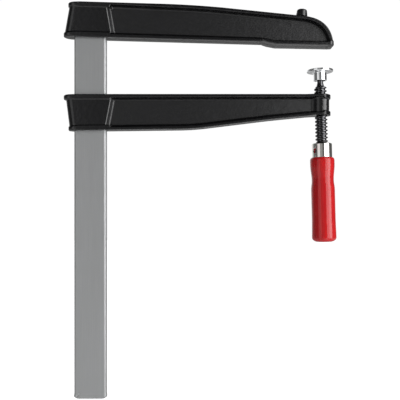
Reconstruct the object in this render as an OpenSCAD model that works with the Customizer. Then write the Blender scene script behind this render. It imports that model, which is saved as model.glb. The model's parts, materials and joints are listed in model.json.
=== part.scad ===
// Deep-throat F clamp with a 300 mm reach and a 400 mm opening.
// Millimetres, +Z up along the rail. The origin is where the spindle axis meets the fixed jaw's contact face:
// the rail stands at -X, the handle hangs at -Z, and the clamp is symmetric about the XZ plane.

/* [Rail] */
// Width of the flat rail, along X
rail_w = 45; // [40:0.5:50]
// Thickness of the rail, along Y
rail_t = 12; // [10:0.5:14]
// Radius of the rail's long rounded corners
rail_r = 3.5; // [2:0.5:5]
// Reach from the rail's inner edge to the spindle axis at the sliding arm
throat = 300; // [250:5:350]
// Depth of the rail's lower end below the fixed jaw's face
rail_drop = 492; // [450:1:700]

/* [Arms] */
// Width of the arms' flanges, along Y
flange_w = 22; // [18:0.5:26]
// Thickness of the arms' webs, along Y
web_t = 8; // [6:0.5:10]
// Width of the arms' sockets around the rail, along Y
socket_w = 20; // [19:0.5:24]
// Flange thickness next to the rail
flange_root = 7; // [5:0.5:9]
// Flange thickness at the nose
flange_tip = 6; // [5:0.5:7]
// Slope of the fixed jaw's contact face, which closes the throat towards the tip, in degrees
jaw_slope = 1.1; // [0:0.1:2]
// Width of the fixed jaw's contact pad, along Y
jaw_w = 29; // [24:0.5:34]
// Length of the fixed jaw's contact pad, along X
jaw_l = 95; // [60:1:100]

/* [Spindle] */
// Lean of the spindle axis towards the rail at its top, in degrees
spindle_lean = 1.5; // [0:0.1:3]
// Outside diameter of the thread
thread_d = 17.5; // [16:0.5:19]
// Root diameter of the thread
root_d = 13.5; // [12:0.5:14]
// Pitch of the single-start thread
pitch = 5; // [4:0.5:6]
// Diameter of the plain neck where it leaves the pressure plate
neck_d = 8; // [7:0.5:9]
// Diameter of the ball that carries the pressure plate
ball_d = 14.4; // [14:0.2:15]

/* [Pressure plate] */
// Diameter of the pressure plate
plate_d = 37; // [30:0.5:42]
// Distance along the spindle from the jaw face to the pressure plate
gap = 32.4; // [32:0.2:60]
// Outside diameter of the plate's collar
collar_d = 18.6; // [18:0.2:20]

/* [Handle] */
// Largest diameter of the wooden handle
handle_d = 34; // [32:0.5:40]
// Length of the wooden handle below its ferrule
handle_l = 118; // [100:1:140]
// Outside diameter of the ferrule
ferrule_d = 28.2; // [26:0.2:30]
// Diameter of the cross pin
pin_d = 6.5; // [5:0.5:7]

/* [Hidden] */
$fn = 96;
eps = 0.01;
fit_gap = 0.02;

// Sliding arm: its level back, its boss and its sole, which is nearly level as far as the knee
slide_top = -67.5;
boss_x = -slide_top * tan(spindle_lean) + 0.3;
boss_r = 11.7;
nose_r = 13.5;
slide_sole = -118.1;
slide_knee = [-176, -116];
slide_chin = [-60, -101.6];
slide_tip = -96.7;
slot_side = 0.4;
slot_face = 0.4;

// Rail: its edges, its ends and the swaged stop at the lower one
rail_in = -slide_top * tan(spindle_lean) - throat;
rail_out = rail_in - rail_w;
rail_mid = (rail_in + rail_out) / 2;
rail_top = 60;
stop_bulge = 0.6;
stop_h = 8;
stop_chamfer = 3.5;

// Fixed arm: points along its back, which turns down gently at the bend and runs into the nose's curve
fixed_top = 61.7;
fixed_bend = [-176, 56.2];
fixed_crown = [-26, 41.2];
fixed_tip_x = 18;
belly_slope = 0.028;
belly_z = 3;
jaw_x0 = fixed_tip_x - jaw_l;
jaw_t = 6.6;
jaw_corner = 5;
lug_x = -24.9;
lug_lean = 4;
lug_h = 12.5;
lug_base_r = 8.4;
lug_top_r = 6.6;
lug_round = 1.2;

// Sockets: the slim and wide ends' left edges, and how far their walls lean over their height, in degrees
fixed_socket = [-350, -299.2];
fixed_socket_lean = [10, 9.9];
fixed_flange_ends = [-352.4, -358.8];
slide_socket = [-350, -300.4];
slide_socket_lean = [7.1, 10.9];
slide_flange_ends = [-352.2, -358.8];
ramp = 6.3;

// Spindle: distances down its axis from the jaw face
plate_t = 3.2;
plate_floor = 2.2;
socket_gap = 0.05;
ball_at = gap + plate_floor + socket_gap + ball_d / 2;
collar_end = gap + 15.2;
thread_start = 55.5;
neck_root_d = 10.6;
first_crest_d = 15.5;
ferrule_at = 135.3;
tang_d = 13;
tang_end = 236;
thread_gap = 0.08;

// Spring ring in the ball's groove, the spherical seat around it and the collar's mouth
ring_wire = 1.6;
ring_r = 6.7;
ring_gap = 0.06;
seat_r = 7.65;
mouth_r = 7.3;

// Handle and ferrule
handle_at = 155.1;
handle_end = handle_at + handle_l;
ferrule_wall = 1.5;
spigot_r = ferrule_d / 2 - ferrule_wall;
pin_at = 145.7;
pin_turn = 34;
pin_l = 21;

function mix(a, b, t) = a + (b - a) * t;
function reversed(list) = [for (i = [len(list) - 1:-1:0]) list[i]];
// Smooth curves from the first point to the last, pulled towards those between
function bend(a, b, c, n = 8) = [for (i = [0:n]) let (t = i / n)
    pow(1 - t, 2) * a + 2 * (1 - t) * t * b + t * t * c];
function sweep(a, b, c, d, n = 16) = [for (i = [0:n]) let (t = i / n)
    pow(1 - t, 3) * a + 3 * pow(1 - t, 2) * t * b + 3 * (1 - t) * t * t * c + pow(t, 3) * d];
// Flange thickness at x, from the rail to the nose
function flange(x) = mix(flange_root, flange_tip, (x - rail_in) / throat);
function jaw_z(x) = -x * tan(jaw_slope);
function belly(x) = belly_z - belly_slope * x;

// Extrudes a side view, drawn in X and Z, to width w about the XZ plane
module slab(w) {
    rotate([90, 0, 0]) translate([0, 0, -w / 2]) linear_extrude(w) children();
}

// Places things on the leaning spindle axis, with z = 0 at the jaw face
module on_axis() {
    rotate([0, -spindle_lean, 0]) children();
}

// Flat bar's cross-section with round corners
module bar_section(w, t, r) {
    square([w - 2 * r, t], center = true);
    square([w, t - 2 * r], center = true);
    for (x = [-1, 1], y = [-1, 1])
        translate([x * (w / 2 - r), y * (t / 2 - r)]) circle(r);
}

// ---- Rail ----

module rail() {
    stop_top = -rail_drop + stop_h;
    color("darkgray") {
        translate([rail_mid, 0, stop_top])
            linear_extrude(rail_top - stop_top) bar_section(rail_w, rail_t, rail_r);
        intersection() {
            translate([rail_mid, 0, -rail_drop])
                linear_extrude(stop_h) bar_section(rail_w + 2 * stop_bulge, rail_t, rail_r);
            slab(rail_t + 1) stop_outline();
        }
    }
}

// The swaged end: it bulges past the rail's edges and is chamfered at its corners
module stop_outline() {
    low = -rail_drop;
    half = rail_w / 2;
    right = [[half - stop_chamfer * 0.7, low], [half + stop_bulge, low + stop_chamfer],
             [half + stop_bulge, low + stop_h * 0.6], [half, low + stop_h + eps]];
    left = [for (p = reversed(right)) [-p[0], p[1]]];
    translate([rail_mid, 0]) polygon(concat(right, left));
}

// ---- What both arms share ----

// Flange: a band along an edge line, as thick as the flange is there, above the line or below it. It is
// trimmed to the flange's plan, which is round behind the rail, where its outermost point is at x_out, and
// ends square at x_in unless a 2D child rounds it.
module flange_along(edge, side, x_out, x_in) {
    r = flange_w / 2;
    inner = [for (p = reversed(edge)) p + [0, side * flange(p[0])]];
    intersection() {
        slab(2 * flange_w) polygon(concat(edge, inner));
        translate([0, 0, slide_sole - 10]) linear_extrude(fixed_top - slide_sole + 20) {
            translate([x_out + r, 0]) circle(r);
            translate([x_out + r, -r]) square([x_in - x_out - r, flange_w]);
            children();
        }
    }
}

// Socket around the rail. It grows from z_slim to z_wide, its walls leaning outwards by two angles from
// its outer and inner faces at the slim end, and it runs into the flanges at both ends. The inner wall is
// a pair of ramps down to the web.
module rail_socket(z_slim, z_wide, faces, lean) {
    half = socket_w / 2;
    h = abs(z_wide - z_slim);
    up = sign(z_wide - z_slim);
    reach = 2 * rail_w;
    slope = ramp / (half - web_t / 2);
    flare = [-4 * slope, half + 4];
    foot = [ramp + 2 * slope, web_t / 2 - 2];
    intersection() {
        translate([faces[0] + half, 0, z_slim]) rotate([0, -up * lean[0], 0])
            linear_extrude(3 * h, center = true) {
                circle(half);
                translate([0, -half]) square([reach, socket_w]);
            }
        translate([faces[1], 0, z_slim]) rotate([0, up * lean[1], 0])
            linear_extrude(3 * h, center = true)
                polygon([[-reach, flare[1]], flare, foot, [foot[0], -foot[1]], [flare[0], -flare[1]],
                         [-reach, -flare[1]]]);
        translate([rail_mid - 75, -50, min(z_slim, z_wide)]) cube([150, 100, h]);
    }
}

// ---- Fixed arm ----

fixed_back = concat(
    [[fixed_flange_ends[0] - 1, fixed_top]],
    bend(fixed_bend + [-40, 1.4], fixed_bend, fixed_bend + [40, -3.7]),
    [fixed_crown]);
nose_tip = [fixed_tip_x, jaw_z(fixed_tip_x)];
nose_curve = sweep(fixed_crown, [3.2, 39.3], [17, 24], nose_tip);
nose_inner = sweep(fixed_crown - [0, flange(fixed_crown[0])], [-2, 33.2], [10.6, 19.2], nose_tip - [6.4, 0]);
fixed_belly = [for (x = [fixed_flange_ends[1] - 1, jaw_x0 - 4]) [x, belly(x)]];
jaw_face = [[jaw_x0 - 6, belly(jaw_x0) + 1.5], [jaw_x0 + 3, jaw_z(jaw_x0) + 2.1],
            [jaw_x0 + 15, jaw_z(jaw_x0 + 15)], [fixed_tip_x + 2, jaw_z(fixed_tip_x + 2)]];

module fixed_arm() {
    color([0.09, 0.09, 0.1]) difference() {
        union() {
            fixed_web();
            flange_along(fixed_back, -1, fixed_flange_ends[0], fixed_tip_x);
            slab(flange_w) polygon(concat(nose_curve, reversed(nose_inner)));
            flange_along(fixed_belly, 1, fixed_flange_ends[1], fixed_tip_x);
            jaw_pad();
            lug();
            rail_socket(fixed_top - 3, belly(rail_out) + 3, fixed_socket, fixed_socket_lean);
        }
        translate([rail_mid, 0, -20])
            linear_extrude(120) bar_section(rail_w + 2 * fit_gap, rail_t + 2 * fit_gap, rail_r);
    }
}

// Its edges lie inside the flanges and the socket
module fixed_web() {
    under = [for (p = reversed(jaw_face)) [min(p[0], nose_inner[16][0]), p[1] + 2]];
    slab(web_t) polygon(concat(
        [[rail_in - 5, fixed_top - 3]], [for (i = [1:len(fixed_back) - 2]) fixed_back[i] - [0, 2]],
        [for (p = nose_inner) p + [1, 1]], under, [[rail_in - 5, belly(rail_in) + 3]]));
}

// Contact pad: a thick, wide flange, whose face is the clamp's datum
module jaw_pad() {
    left = jaw_x0 - 6;
    intersection() {
        slab(jaw_w) polygon(concat(jaw_face, [for (p = reversed(jaw_face)) p + [0, jaw_t]]));
        translate([(left + fixed_tip_x) / 2, 0, -20])
            linear_extrude(60) bar_section(fixed_tip_x - left, jaw_w, jaw_corner);
    }
}

// Cast lug on the arm's back
module lug() {
    translate([lug_x, 0, 40]) rotate([0, lug_lean, 0]) rotate_extrude()
        polygon([[0, -3], [lug_base_r, -3], [lug_base_r, 1], [lug_top_r, lug_h - lug_round],
                 [lug_top_r - lug_round, lug_h], [0, lug_h]]);
}

// ---- Sliding arm ----

slide_back = [[slide_flange_ends[1] - 1, slide_top], [boss_x + nose_r + 1, slide_top]];
slide_belly = concat(
    [[slide_flange_ends[0] - 1, slide_sole]],
    bend(slide_knee - [22, 0.2], slide_knee, slide_knee + [22, 2.9], 6),
    bend(slide_chin - [20, 2.4], slide_chin, [boss_x - 8, slide_tip]),
    [[boss_x + nose_r + 1, slide_tip]]);

module sliding_arm() {
    color([0.08, 0.08, 0.09]) difference() {
        union() {
            slab(web_t) polygon(concat(
                [[boss_x, slide_top - 3], [rail_in - 5, slide_top - 3], [rail_in - 5, slide_sole + 3]],
                [for (i = [1:len(slide_belly) - 2]) slide_belly[i] + [0, 3]], [[boss_x, slide_tip + 3]]));
            flange_along(slide_back, -1, slide_flange_ends[1], boss_x) nose_round();
            flange_along(slide_belly, 1, slide_flange_ends[0], boss_x) nose_round();
            rail_socket(slide_sole + 3, slide_top - 3, slide_socket, slide_socket_lean);
            translate([boss_x, 0, slide_tip + 3]) cylinder(r = boss_r, h = slide_top - slide_tip - 6);
        }
        translate([rail_mid, 0, slide_top - 60]) linear_extrude(80)
            bar_section(rail_w + 2 * slot_side, rail_t + 2 * slot_face, rail_r);
        on_axis() translate([0, 0, -120]) cylinder(d = thread_d + 2 * thread_gap, h = 70);
    }
}

// Round end of a flange above and below the boss
module nose_round() {
    translate([boss_x, 0]) circle(nose_r);
}

// ---- Pressure plate and its ring ----

module pressure_plate() {
    half = plate_d / 2;
    collar_r = collar_d / 2;
    roof = gap + plate_floor;
    low = ball_at + sqrt(pow(seat_r, 2) - pow(mouth_r, 2));
    from = asin((roof - ball_at) / seat_r);
    to = asin((low - ball_at) / seat_r);
    seat = [for (i = [24:-1:0]) let (a = mix(from, to, i / 24)) [seat_r * cos(a), -ball_at - seat_r * sin(a)]];
    color("silver") on_axis() rotate_extrude() polygon(concat(
        [[0, -gap], [half - 0.6, -gap], [half, -gap - 0.6], [half, -gap - plate_t + 1],
         [half - 1, -gap - plate_t], [collar_r + 0.8, -gap - plate_t], [collar_r, -gap - plate_t - 0.8],
         [collar_r, -collar_end + 1], [collar_r - 1, -collar_end], [mouth_r + 0.4, -collar_end],
         [mouth_r, -collar_end + 0.4]],
        seat, [[0, -roof]]));
}

module retaining_ring() {
    color("dimgray") on_axis() translate([0, 0, -ball_at])
        rotate_extrude() translate([ring_r, 0]) circle(d = ring_wire, $fn = 32);
}

// ---- Spindle ----

// Annular ridges with the thread's own pitch and flanks. The first one is lower, where the thread runs out.
module thread(from, to) {
    crest = 1.4;
    flank = 1.1;
    root_r = root_d / 2;
    last = floor((to - from - crest) / pitch) - 1;
    rotate_extrude() polygon(concat(
        [[0, -from], [neck_root_d / 2, -from]],
        [for (i = [0:last]) let (r = i == 0 ? first_crest_d / 2 : thread_d / 2, z = -from - i * pitch)
            each [[i == 0 ? neck_root_d / 2 : root_r, z], [r, z - flank], [r, z - flank - crest],
                  [root_r, z - 2 * flank - crest]]],
        [[root_r, -to], [0, -to]]));
}

module spindle() {
    groove = ring_wire + 2 * ring_gap;
    color([0.12, 0.12, 0.13]) on_axis() difference() {
        union() {
            translate([0, 0, -ball_at]) difference() {
                sphere(d = ball_d);
                rotate_extrude() {
                    translate([ring_r, 0]) circle(d = groove, $fn = 32);
                    translate([ring_r, -groove / 2]) square([ball_d, groove]);
                }
            }
            translate([0, 0, -collar_end]) cylinder(d = neck_d, h = collar_end - ball_at);
            translate([0, 0, -thread_start])
                cylinder(d1 = neck_root_d, d2 = neck_d, h = thread_start - collar_end);
            thread(thread_start, ferrule_at);
            translate([0, 0, -tang_end]) cylinder(d = tang_d, h = tang_end - ferrule_at);
        }
        cross_hole();
    }
}

// ---- Handle, ferrule and cross pin ----

module across(d, length) {
    translate([0, 0, -pin_at]) rotate([0, 0, pin_turn]) rotate([0, 90, 0])
        cylinder(d = d, h = length, center = true, $fn = 48);
}

module cross_hole() {
    across(pin_d + 2 * fit_gap, 2 * handle_d);
}

module cross_pin() {
    color("gray") on_axis() across(pin_d, pin_l);
}

module ferrule() {
    outer = ferrule_d / 2;
    tang_r = tang_d / 2 + fit_gap;
    color("gainsboro") on_axis() difference() {
        rotate_extrude() polygon([
            [tang_r, -ferrule_at], [outer - 1.2, -ferrule_at], [outer, -ferrule_at - 1.2],
            [outer, -handle_at], [spigot_r + fit_gap, -handle_at],
            [spigot_r + fit_gap, -ferrule_at - ferrule_wall], [tang_r, -ferrule_at - ferrule_wall]]);
        cross_hole();
    }
}

// Turned profile: a round shoulder, a bulb, a waist and a long barrel with a round end
module handle() {
    big = handle_d / 2;
    top = -handle_at;
    waist = big - 1.7;
    barrel = big - 0.5;
    shoulder = [for (a = [90:-15:0]) [big - 3 + 3 * cos(a), top - 4.2 + 4.2 * sin(a)]];
    neck = [for (i = [0:8]) let (t = i / 8) [mix(big, waist, (1 - cos(180 * t)) / 2), top - 9 - 23 * t]];
    swell = [for (i = [1:8]) let (t = i / 8) [mix(waist, barrel, (1 - cos(180 * t)) / 2), top - 32 - 13 * t]];
    round_end = [for (a = [0:-15:-90]) [big - 6.5 + 6.5 * cos(a), -handle_end + 6.5 + 6.5 * sin(a)]];
    spigot_top = -ferrule_at - ferrule_wall - fit_gap;
    color([0.8, 0.1, 0.1]) on_axis() difference() {
        rotate_extrude() polygon(concat([[0, spigot_top], [spigot_r, spigot_top], [spigot_r, top]],
                                        shoulder, neck, swell, round_end, [[0, -handle_end]]));
        translate([0, 0, -tang_end - 0.5]) cylinder(d = tang_d + 2 * fit_gap, h = tang_end);
        cross_hole();
    }
}

rail();
fixed_arm();
sliding_arm();
pressure_plate();
retaining_ring();
spindle();
ferrule();
cross_pin();
handle();
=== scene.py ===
"""Looks of a deep-throat F clamp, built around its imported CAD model.

Shapes are worked out in millimetres in the CAD's frame: +Z runs up along the rail, and the origin is where
the spindle axis meets the fixed jaw's face. They become metres when a piece's mesh is made. The two arms and
the ferrule are described as distance fields, which take a casting's fillets and round edges well, and are
skinned with quads. The rail is lofted, the spindle's thread is a helical grid, the snap ring is swept, and
the rest is turned on an axis.
"""

import json
import math

import bmesh
import bpy
import numpy as np
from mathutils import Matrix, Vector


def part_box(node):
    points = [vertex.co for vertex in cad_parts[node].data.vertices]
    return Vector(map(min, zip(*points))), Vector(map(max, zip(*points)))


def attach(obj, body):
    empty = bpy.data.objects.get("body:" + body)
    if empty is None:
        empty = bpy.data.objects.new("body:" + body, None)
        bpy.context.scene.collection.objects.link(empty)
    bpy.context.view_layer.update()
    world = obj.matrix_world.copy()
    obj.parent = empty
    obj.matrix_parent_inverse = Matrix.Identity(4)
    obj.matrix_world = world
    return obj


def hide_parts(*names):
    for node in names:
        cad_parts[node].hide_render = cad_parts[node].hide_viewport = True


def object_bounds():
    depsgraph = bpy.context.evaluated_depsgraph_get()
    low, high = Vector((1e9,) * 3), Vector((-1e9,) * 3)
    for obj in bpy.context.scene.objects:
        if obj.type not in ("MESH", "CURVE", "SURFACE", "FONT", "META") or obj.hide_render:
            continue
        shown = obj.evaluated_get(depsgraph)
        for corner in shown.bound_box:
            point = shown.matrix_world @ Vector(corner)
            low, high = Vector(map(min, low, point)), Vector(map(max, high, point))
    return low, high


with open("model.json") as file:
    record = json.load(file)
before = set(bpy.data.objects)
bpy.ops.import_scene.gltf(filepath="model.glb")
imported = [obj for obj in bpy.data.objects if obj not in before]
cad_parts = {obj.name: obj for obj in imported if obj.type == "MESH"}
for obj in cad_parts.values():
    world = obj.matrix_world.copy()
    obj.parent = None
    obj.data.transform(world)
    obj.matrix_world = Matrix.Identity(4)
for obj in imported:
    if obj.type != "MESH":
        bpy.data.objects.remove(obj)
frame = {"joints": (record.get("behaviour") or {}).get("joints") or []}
cad_bounds = [list(corner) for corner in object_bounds()]

MM = 0.001


def box_mm(node):
    """Lowest and highest corner of a CAD node, in millimetres."""
    low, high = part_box(node)
    return np.array(low) / MM, np.array(high) / MM


# ---- Dimensions, in millimetres ----

RAIL_LOW, RAIL_HIGH = box_mm("rail")
FIXED_LOW, FIXED_HIGH = box_mm("fixed_arm")
SLIDE_LOW, SLIDE_HIGH = box_mm("sliding_arm")

# Rail: the swaged stop bulges past its edges at the lower end
STOP_BULGE = 0.6
STOP_H = 8
STOP_CHAMFER = 2.2
STOP_CHAMFER_IN = 2.8
STOP_WIDEST = (3.2, 4.0)
END_CHAMFER_T = 0.4
TOP_CHAMFER = 0.6
RAIL_R = 3.5
RAIL_T = RAIL_HIGH[1] - RAIL_LOW[1]
RAIL_W = RAIL_HIGH[0] - RAIL_LOW[0] - 2 * STOP_BULGE
RAIL_MID = (RAIL_HIGH[0] + RAIL_LOW[0]) / 2
RAIL_IN = RAIL_MID + RAIL_W / 2

# Two punch marks near the lower end's left corner on each face: distance in from the edge, and height
PUNCH_MARKS = ((7.4, 7.2), (5.0, 4.5))
PUNCH_R = 0.95
PUNCH_DEPTH = 1.0

# Spindle axis, from the joint that turns on it; distances "down" run along it from the fixed jaw's face
turn = next(j for j in frame["joints"] if j["name"] == "spindle_turn")
UP = np.array(turn["axis"]) / np.linalg.norm(turn["axis"])
ACROSS = np.array([UP[2], 0, -UP[0]])
BACK = np.array([0, 1, 0])

# Both arms: I-sections with a thick socket round the rail, and ramps from the socket down to the web.
# Sockets and boss end END_INSIDE short of the outer faces, and webs lap LAP into the flanges.
FLANGE_W = 22
FLANGE_ROOT = 7
FLANGE_TIP = 6
WEB_HALF = 4
SOCKET_HALF = 10
RIM_R = 0.9
RIM_END_R = 3
WEB_FILLET = 2.2
RAMP = 4.4
RAMP_INSET = 0.9
RAMP_EDGE_R = 1.1
RAMP_FOOT_R = 1.3
SOCKET_FILLET = 0.9
END_INSIDE = 3
LAP = 1.5
DRAFT = 2.4
DRAFT_FROM = 4.5
DRAFT_EDGE_R = 0.6
PARTING_H = 0.22
PARTING_W = 0.7

# Fixed arm, in the side view
FIXED_TOP = FIXED_HIGH[2]
FIXED_TIP = FIXED_HIGH[0]
FIXED_BEND = np.array([-176, 56.2])
FIXED_CROWN = np.array([-26, 41.2])
FIXED_ENDS = (FIXED_LOW[0] + 6.4, FIXED_LOW[0])
FIXED_SOCKET = (-350, -299.2)
FIXED_SOCKET_LEAN = (10, 9.9)
BELLY_Z = 3
BELLY_SLOPE = 0.028
JAW_SLOPE = math.tan(math.radians(1.1))
JAW_START = FIXED_TIP - 95
JAW_T = 6.6
JAW_HALF = FIXED_HIGH[1]
JAW_CORNER = 5
JAW_EDGE_R = 1.3
JAW_FILLET = 1.5
LUG_AT = np.array([-24.9, 40])
LUG_LEAN = math.radians(4)
LUG_H = 12.5
LUG_BASE_R = 8.4
LUG_TOP_R = 6.6
LUG_EDGE_R = 1.8
LUG_FILLET = 2.2

# Sliding arm, in the side view
SLIDE_TOP = SLIDE_HIGH[2]
SLIDE_SOLE = SLIDE_LOW[2]
SLIDE_ENDS = (SLIDE_LOW[0], SLIDE_LOW[0] + 6.6)
SLIDE_KNEE = np.array([-176, -116])
SLIDE_CHIN = np.array([-60, -101.6])
SLIDE_TIP = -96.7
SLIDE_SOCKET = (-350, -300.4)
SLIDE_SOCKET_LEAN = (7.1, 10.9)
SLOT_GAP = 0.4
NOSE_R = SLIDE_HIGH[1]
BOSS_X = SLIDE_HIGH[0] - NOSE_R
BOSS_R = 11.7
BOSS_FILLET = 3.5
NOSE_BLEND_R = 12
BORE_EDGE_R = 0.9

# Spindle, plate and ring
BALL_R = 7.2
BALL_AT = 41.85
GROOVE_R = 0.86
RING_R = 6.7
RING_WIRE_R = 0.8
NECK_R = 4
NECK_ROOT_R = 5.3
NECK_AT = 47.6
THREAD_START = 55.2
THREAD_R = 8.75
ROOT_R = 6.75
PITCH = 5
CREST_AT = 57.05
THREAD_CHAMFER = 1.9
WELD = 0.002
BORE_GAP = 0.08
GAP = 32.4
PLATE_R = 18.5
PLATE_T = 3.2
PLATE_FLOOR = 2.2
COLLAR_R = 9.3
COLLAR_END = 47.6
SEAT_R = 7.65
MOUTH_R = 7.3

# Ferrule, cross pin and handle
FERRULE_AT = 135.3
FERRULE_R = 14.1
FERRULE_WALL = 1.5
TANG_R = 6.5
TANG_END = 236
TANG_CLEAR = 0.5
PIN_AT = 145.7
PIN_R = 3.25
PIN_TURN = math.radians(34)
PIN_HALF = 10.5
HANDLE_AT = 155.1
HANDLE_END = 273.1
HANDLE_R = 17
HANDLE_END_R = 6.5
WAIST_IN = 1.7
BARREL_IN = 0.5
FIT_GAP = 0.02


# ---- Outlines ----

def mix(a, b, t):
    return a + (b - a) * t


def curve(controls, n):
    """n + 1 points along the Bezier curve with these control points."""
    t = np.linspace(0, 1, n + 1)[:, None]
    level = [np.array(c, float) for c in controls]
    while len(level) > 1:
        level = [mix(a, b, t) for a, b in zip(level, level[1:])]
    return level[0]


def flange(x):
    """Flange thickness at x, from the rail to the nose."""
    return mix(FLANGE_ROOT, FLANGE_TIP, (x - RAIL_IN) / -RAIL_IN)


def shifted(line, side):
    """A flange's inner line: its edge line moved up (side 1) or down (-1) by the flange's thickness."""
    return line + np.stack([0 * line[:, 0], side * flange(line[:, 0])], axis=1)


def closed(*lines):
    """One closed outline out of lines, the second one being run backwards."""
    return np.concatenate([line if i % 2 == 0 else line[::-1] for i, line in enumerate(lines)])


# ---- Distance fields: negative inside, in millimetres ----

def outline_distance(outline, u, v):
    """Distance from points (u, v) to a closed outline."""
    shape = np.broadcast(u, v).shape
    nearest = np.full(shape, np.inf)
    inside = np.zeros(shape, bool)
    for (u0, v0), (u1, v1) in zip(outline, np.roll(outline, -1, axis=0)):
        du, dv = u1 - u0, v1 - v0
        t = np.clip(((u - u0) * du + (v - v0) * dv) / (du * du + dv * dv), 0, 1)
        nearest = np.minimum(nearest, (u - u0 - t * du) ** 2 + (v - v0 - t * dv) ** 2)
        if dv:
            inside ^= ((v0 > v) != (v1 > v)) & (u < u0 + (v - v0) * du / dv)
    return np.where(inside, -1, 1) * np.sqrt(nearest)


def join(a, b, r):
    """Union of two fields with a fillet of radius r in the corner between them."""
    return np.maximum(r, np.minimum(a, b)) - np.hypot(np.maximum(r - a, 0), np.maximum(r - b, 0))


def meet(a, b, r):
    """What two fields share, with its edge rounded to radius r."""
    return np.minimum(-r, np.maximum(a, b)) + np.hypot(np.maximum(r + a, 0), np.maximum(r + b, 0))


def cut(a, b, r):
    """The first field without the second, with the opening's edge rounded to radius r."""
    return meet(a, -b, r)


def on_axis(x, z):
    """Offset from the spindle axis in the side view, and distance down along it."""
    return x * UP[2] - z * UP[0], -(x * UP[0] + z * UP[2])


def flange_plan(x, y, left):
    """Plan of a flange that is round behind the rail, where its outermost point is at left."""
    half = FLANGE_W / 2
    centre = left + half
    return np.where(x < centre, np.hypot(x - centre, y), np.abs(y)) - half


def rim_radius(x, left):
    """Radius of a rim's edges, which is larger round its end behind the rail."""
    t = np.clip((x - left - 6) / 14, 0, 1)
    return mix(RIM_END_R, RIM_R, t * t * (3 - 2 * t))


def rail_slot(x, y, gap):
    """The rail's cross-section, with a gap around it."""
    u = np.abs(x - RAIL_MID) - RAIL_W / 2 - gap + RAIL_R
    v = np.abs(y) - RAIL_T / 2 - gap + RAIL_R
    return np.hypot(np.maximum(u, 0), np.maximum(v, 0)) + np.minimum(np.maximum(u, v), 0) - RAIL_R


def socket(x, y, z, faces, leans, z_slim, z_wide):
    """Thick part of an arm round the rail: round behind it, with ramps down to the web in front of it."""
    h = np.abs(z - z_slim)
    left = faces[0] - h * math.tan(math.radians(leans[0])) + SOCKET_HALF
    right = faces[1] + RAMP_INSET + h * math.tan(math.radians(leans[1]))
    sides = np.where(x < left, np.hypot(x - left, y), np.abs(y)) - SOCKET_HALF
    slope = (SOCKET_HALF - WEB_HALF) / RAMP
    ramps = (np.abs(y) - SOCKET_HALF + (x - right) * slope) / math.hypot(1, slope)
    middle, half = (z_slim + z_wide) / 2, abs(z_wide - z_slim) / 2
    return np.maximum(meet(sides, ramps, RAMP_EDGE_R), np.abs(z - middle) - half)


def rim(band, plan, x, z, left):
    """A flange, from its band in the side view and its plan. Its outermost point is at left."""
    return meet(outline_distance(band, x, z), plan, rim_radius(x, left))


def parting_ridge(y):
    """Height of the faint ridge that a two-part mould leaves along an arm's middle plane."""
    return PARTING_H * np.exp(-((y / PARTING_W) ** 2))


def drafted(rims, recess, y):
    """Rims that thin towards their edges, so that the mould could leave the recess between them."""
    share = np.clip((np.abs(y) - DRAFT_FROM) / (FLANGE_W / 2 - DRAFT_FROM), 0, 1)
    return cut(rims, recess - DRAFT * share, DRAFT_EDGE_R)


def inner_fillet(x, web_from, web_to, end):
    """Fillet inside the flanges: small along the socket, larger along the web, and end past the web."""
    stations = [web_from - 6, web_from + 4, web_to - 8, web_to + 2]
    return np.interp(x, stations, [SOCKET_FILLET, WEB_FILLET, WEB_FILLET, end])


# ---- Fixed arm ----

def jaw_z(x):
    return -x * JAW_SLOPE


def belly(x):
    return BELLY_Z - BELLY_SLOPE * x


def fixed_outlines():
    """Side-view outlines of the fixed arm's top flange, bottom flange, jaw pad, recess and web.

    The web's outline laps into the flanges, so that the two join.
    """
    bend = curve([FIXED_BEND + [-40, 1.4], FIXED_BEND, FIXED_BEND + [40, -3.7]], 12)
    back = np.concatenate([[[FIXED_ENDS[0] - 1, FIXED_TOP]], bend, [FIXED_CROWN]])
    tip = np.array([FIXED_TIP, jaw_z(FIXED_TIP)])
    nose = curve([FIXED_CROWN, [3.2, 39.3], [17, 24], tip], 32)
    inner_back = shifted(back, -1)
    inner_nose = curve([inner_back[-1], [-2, 33.2], [10.6, 19.2], tip - [6.4, 0]], 32)
    crest = closed(np.concatenate([back, nose[1:]]), np.concatenate([inner_back, inner_nose[1:]]))
    under = np.array([[x, belly(x)] for x in (FIXED_ENDS[1] - 1, JAW_START - 4)])
    bottom = closed(under, shifted(under, 1))
    face = np.array([[JAW_START - 6, belly(JAW_START) + 1.5], [JAW_START + 3, jaw_z(JAW_START) + 2.1],
                     [JAW_START + 15, jaw_z(JAW_START + 15)], [FIXED_TIP + 2, jaw_z(FIXED_TIP + 2)]])
    pad = closed(face, face + [0, JAW_T])
    start = RAIL_IN + 8
    above_pad = inner_nose[inner_nose[:, 1] > JAW_T + 0.5]
    recess = closed(np.concatenate([[[start, FIXED_TOP - FLANGE_ROOT]], inner_back[1:], above_pad[1:]]),
                    np.array([[start, belly(start) + flange(start)],
                              [JAW_START - 10, belly(JAW_START - 10) + flange(JAW_START)],
                              face[1] + [0, JAW_T], face[2] + [0, JAW_T],
                              [above_pad[-1][0] - 0.5, JAW_T]]))
    start = RAIL_IN - 5
    top_line = np.concatenate([[[start, FIXED_TOP - FLANGE_ROOT + LAP]], inner_back[1:] + [0, LAP],
                               inner_nose[1:] + [0.8, 0.8]])
    low_line = np.concatenate([[[start, belly(start) + flange(start) - LAP]],
                               [[JAW_START - 10, belly(JAW_START - 10) + flange(JAW_START) - LAP]],
                               face[1:3] + [0, JAW_T - LAP], [tip + [-5.6, JAW_T - LAP]]])
    return crest, bottom, pad, recess, closed(top_line, low_line)


CREST, BOTTOM, PAD, FIXED_RECESS, FIXED_WEB = fixed_outlines()


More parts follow.
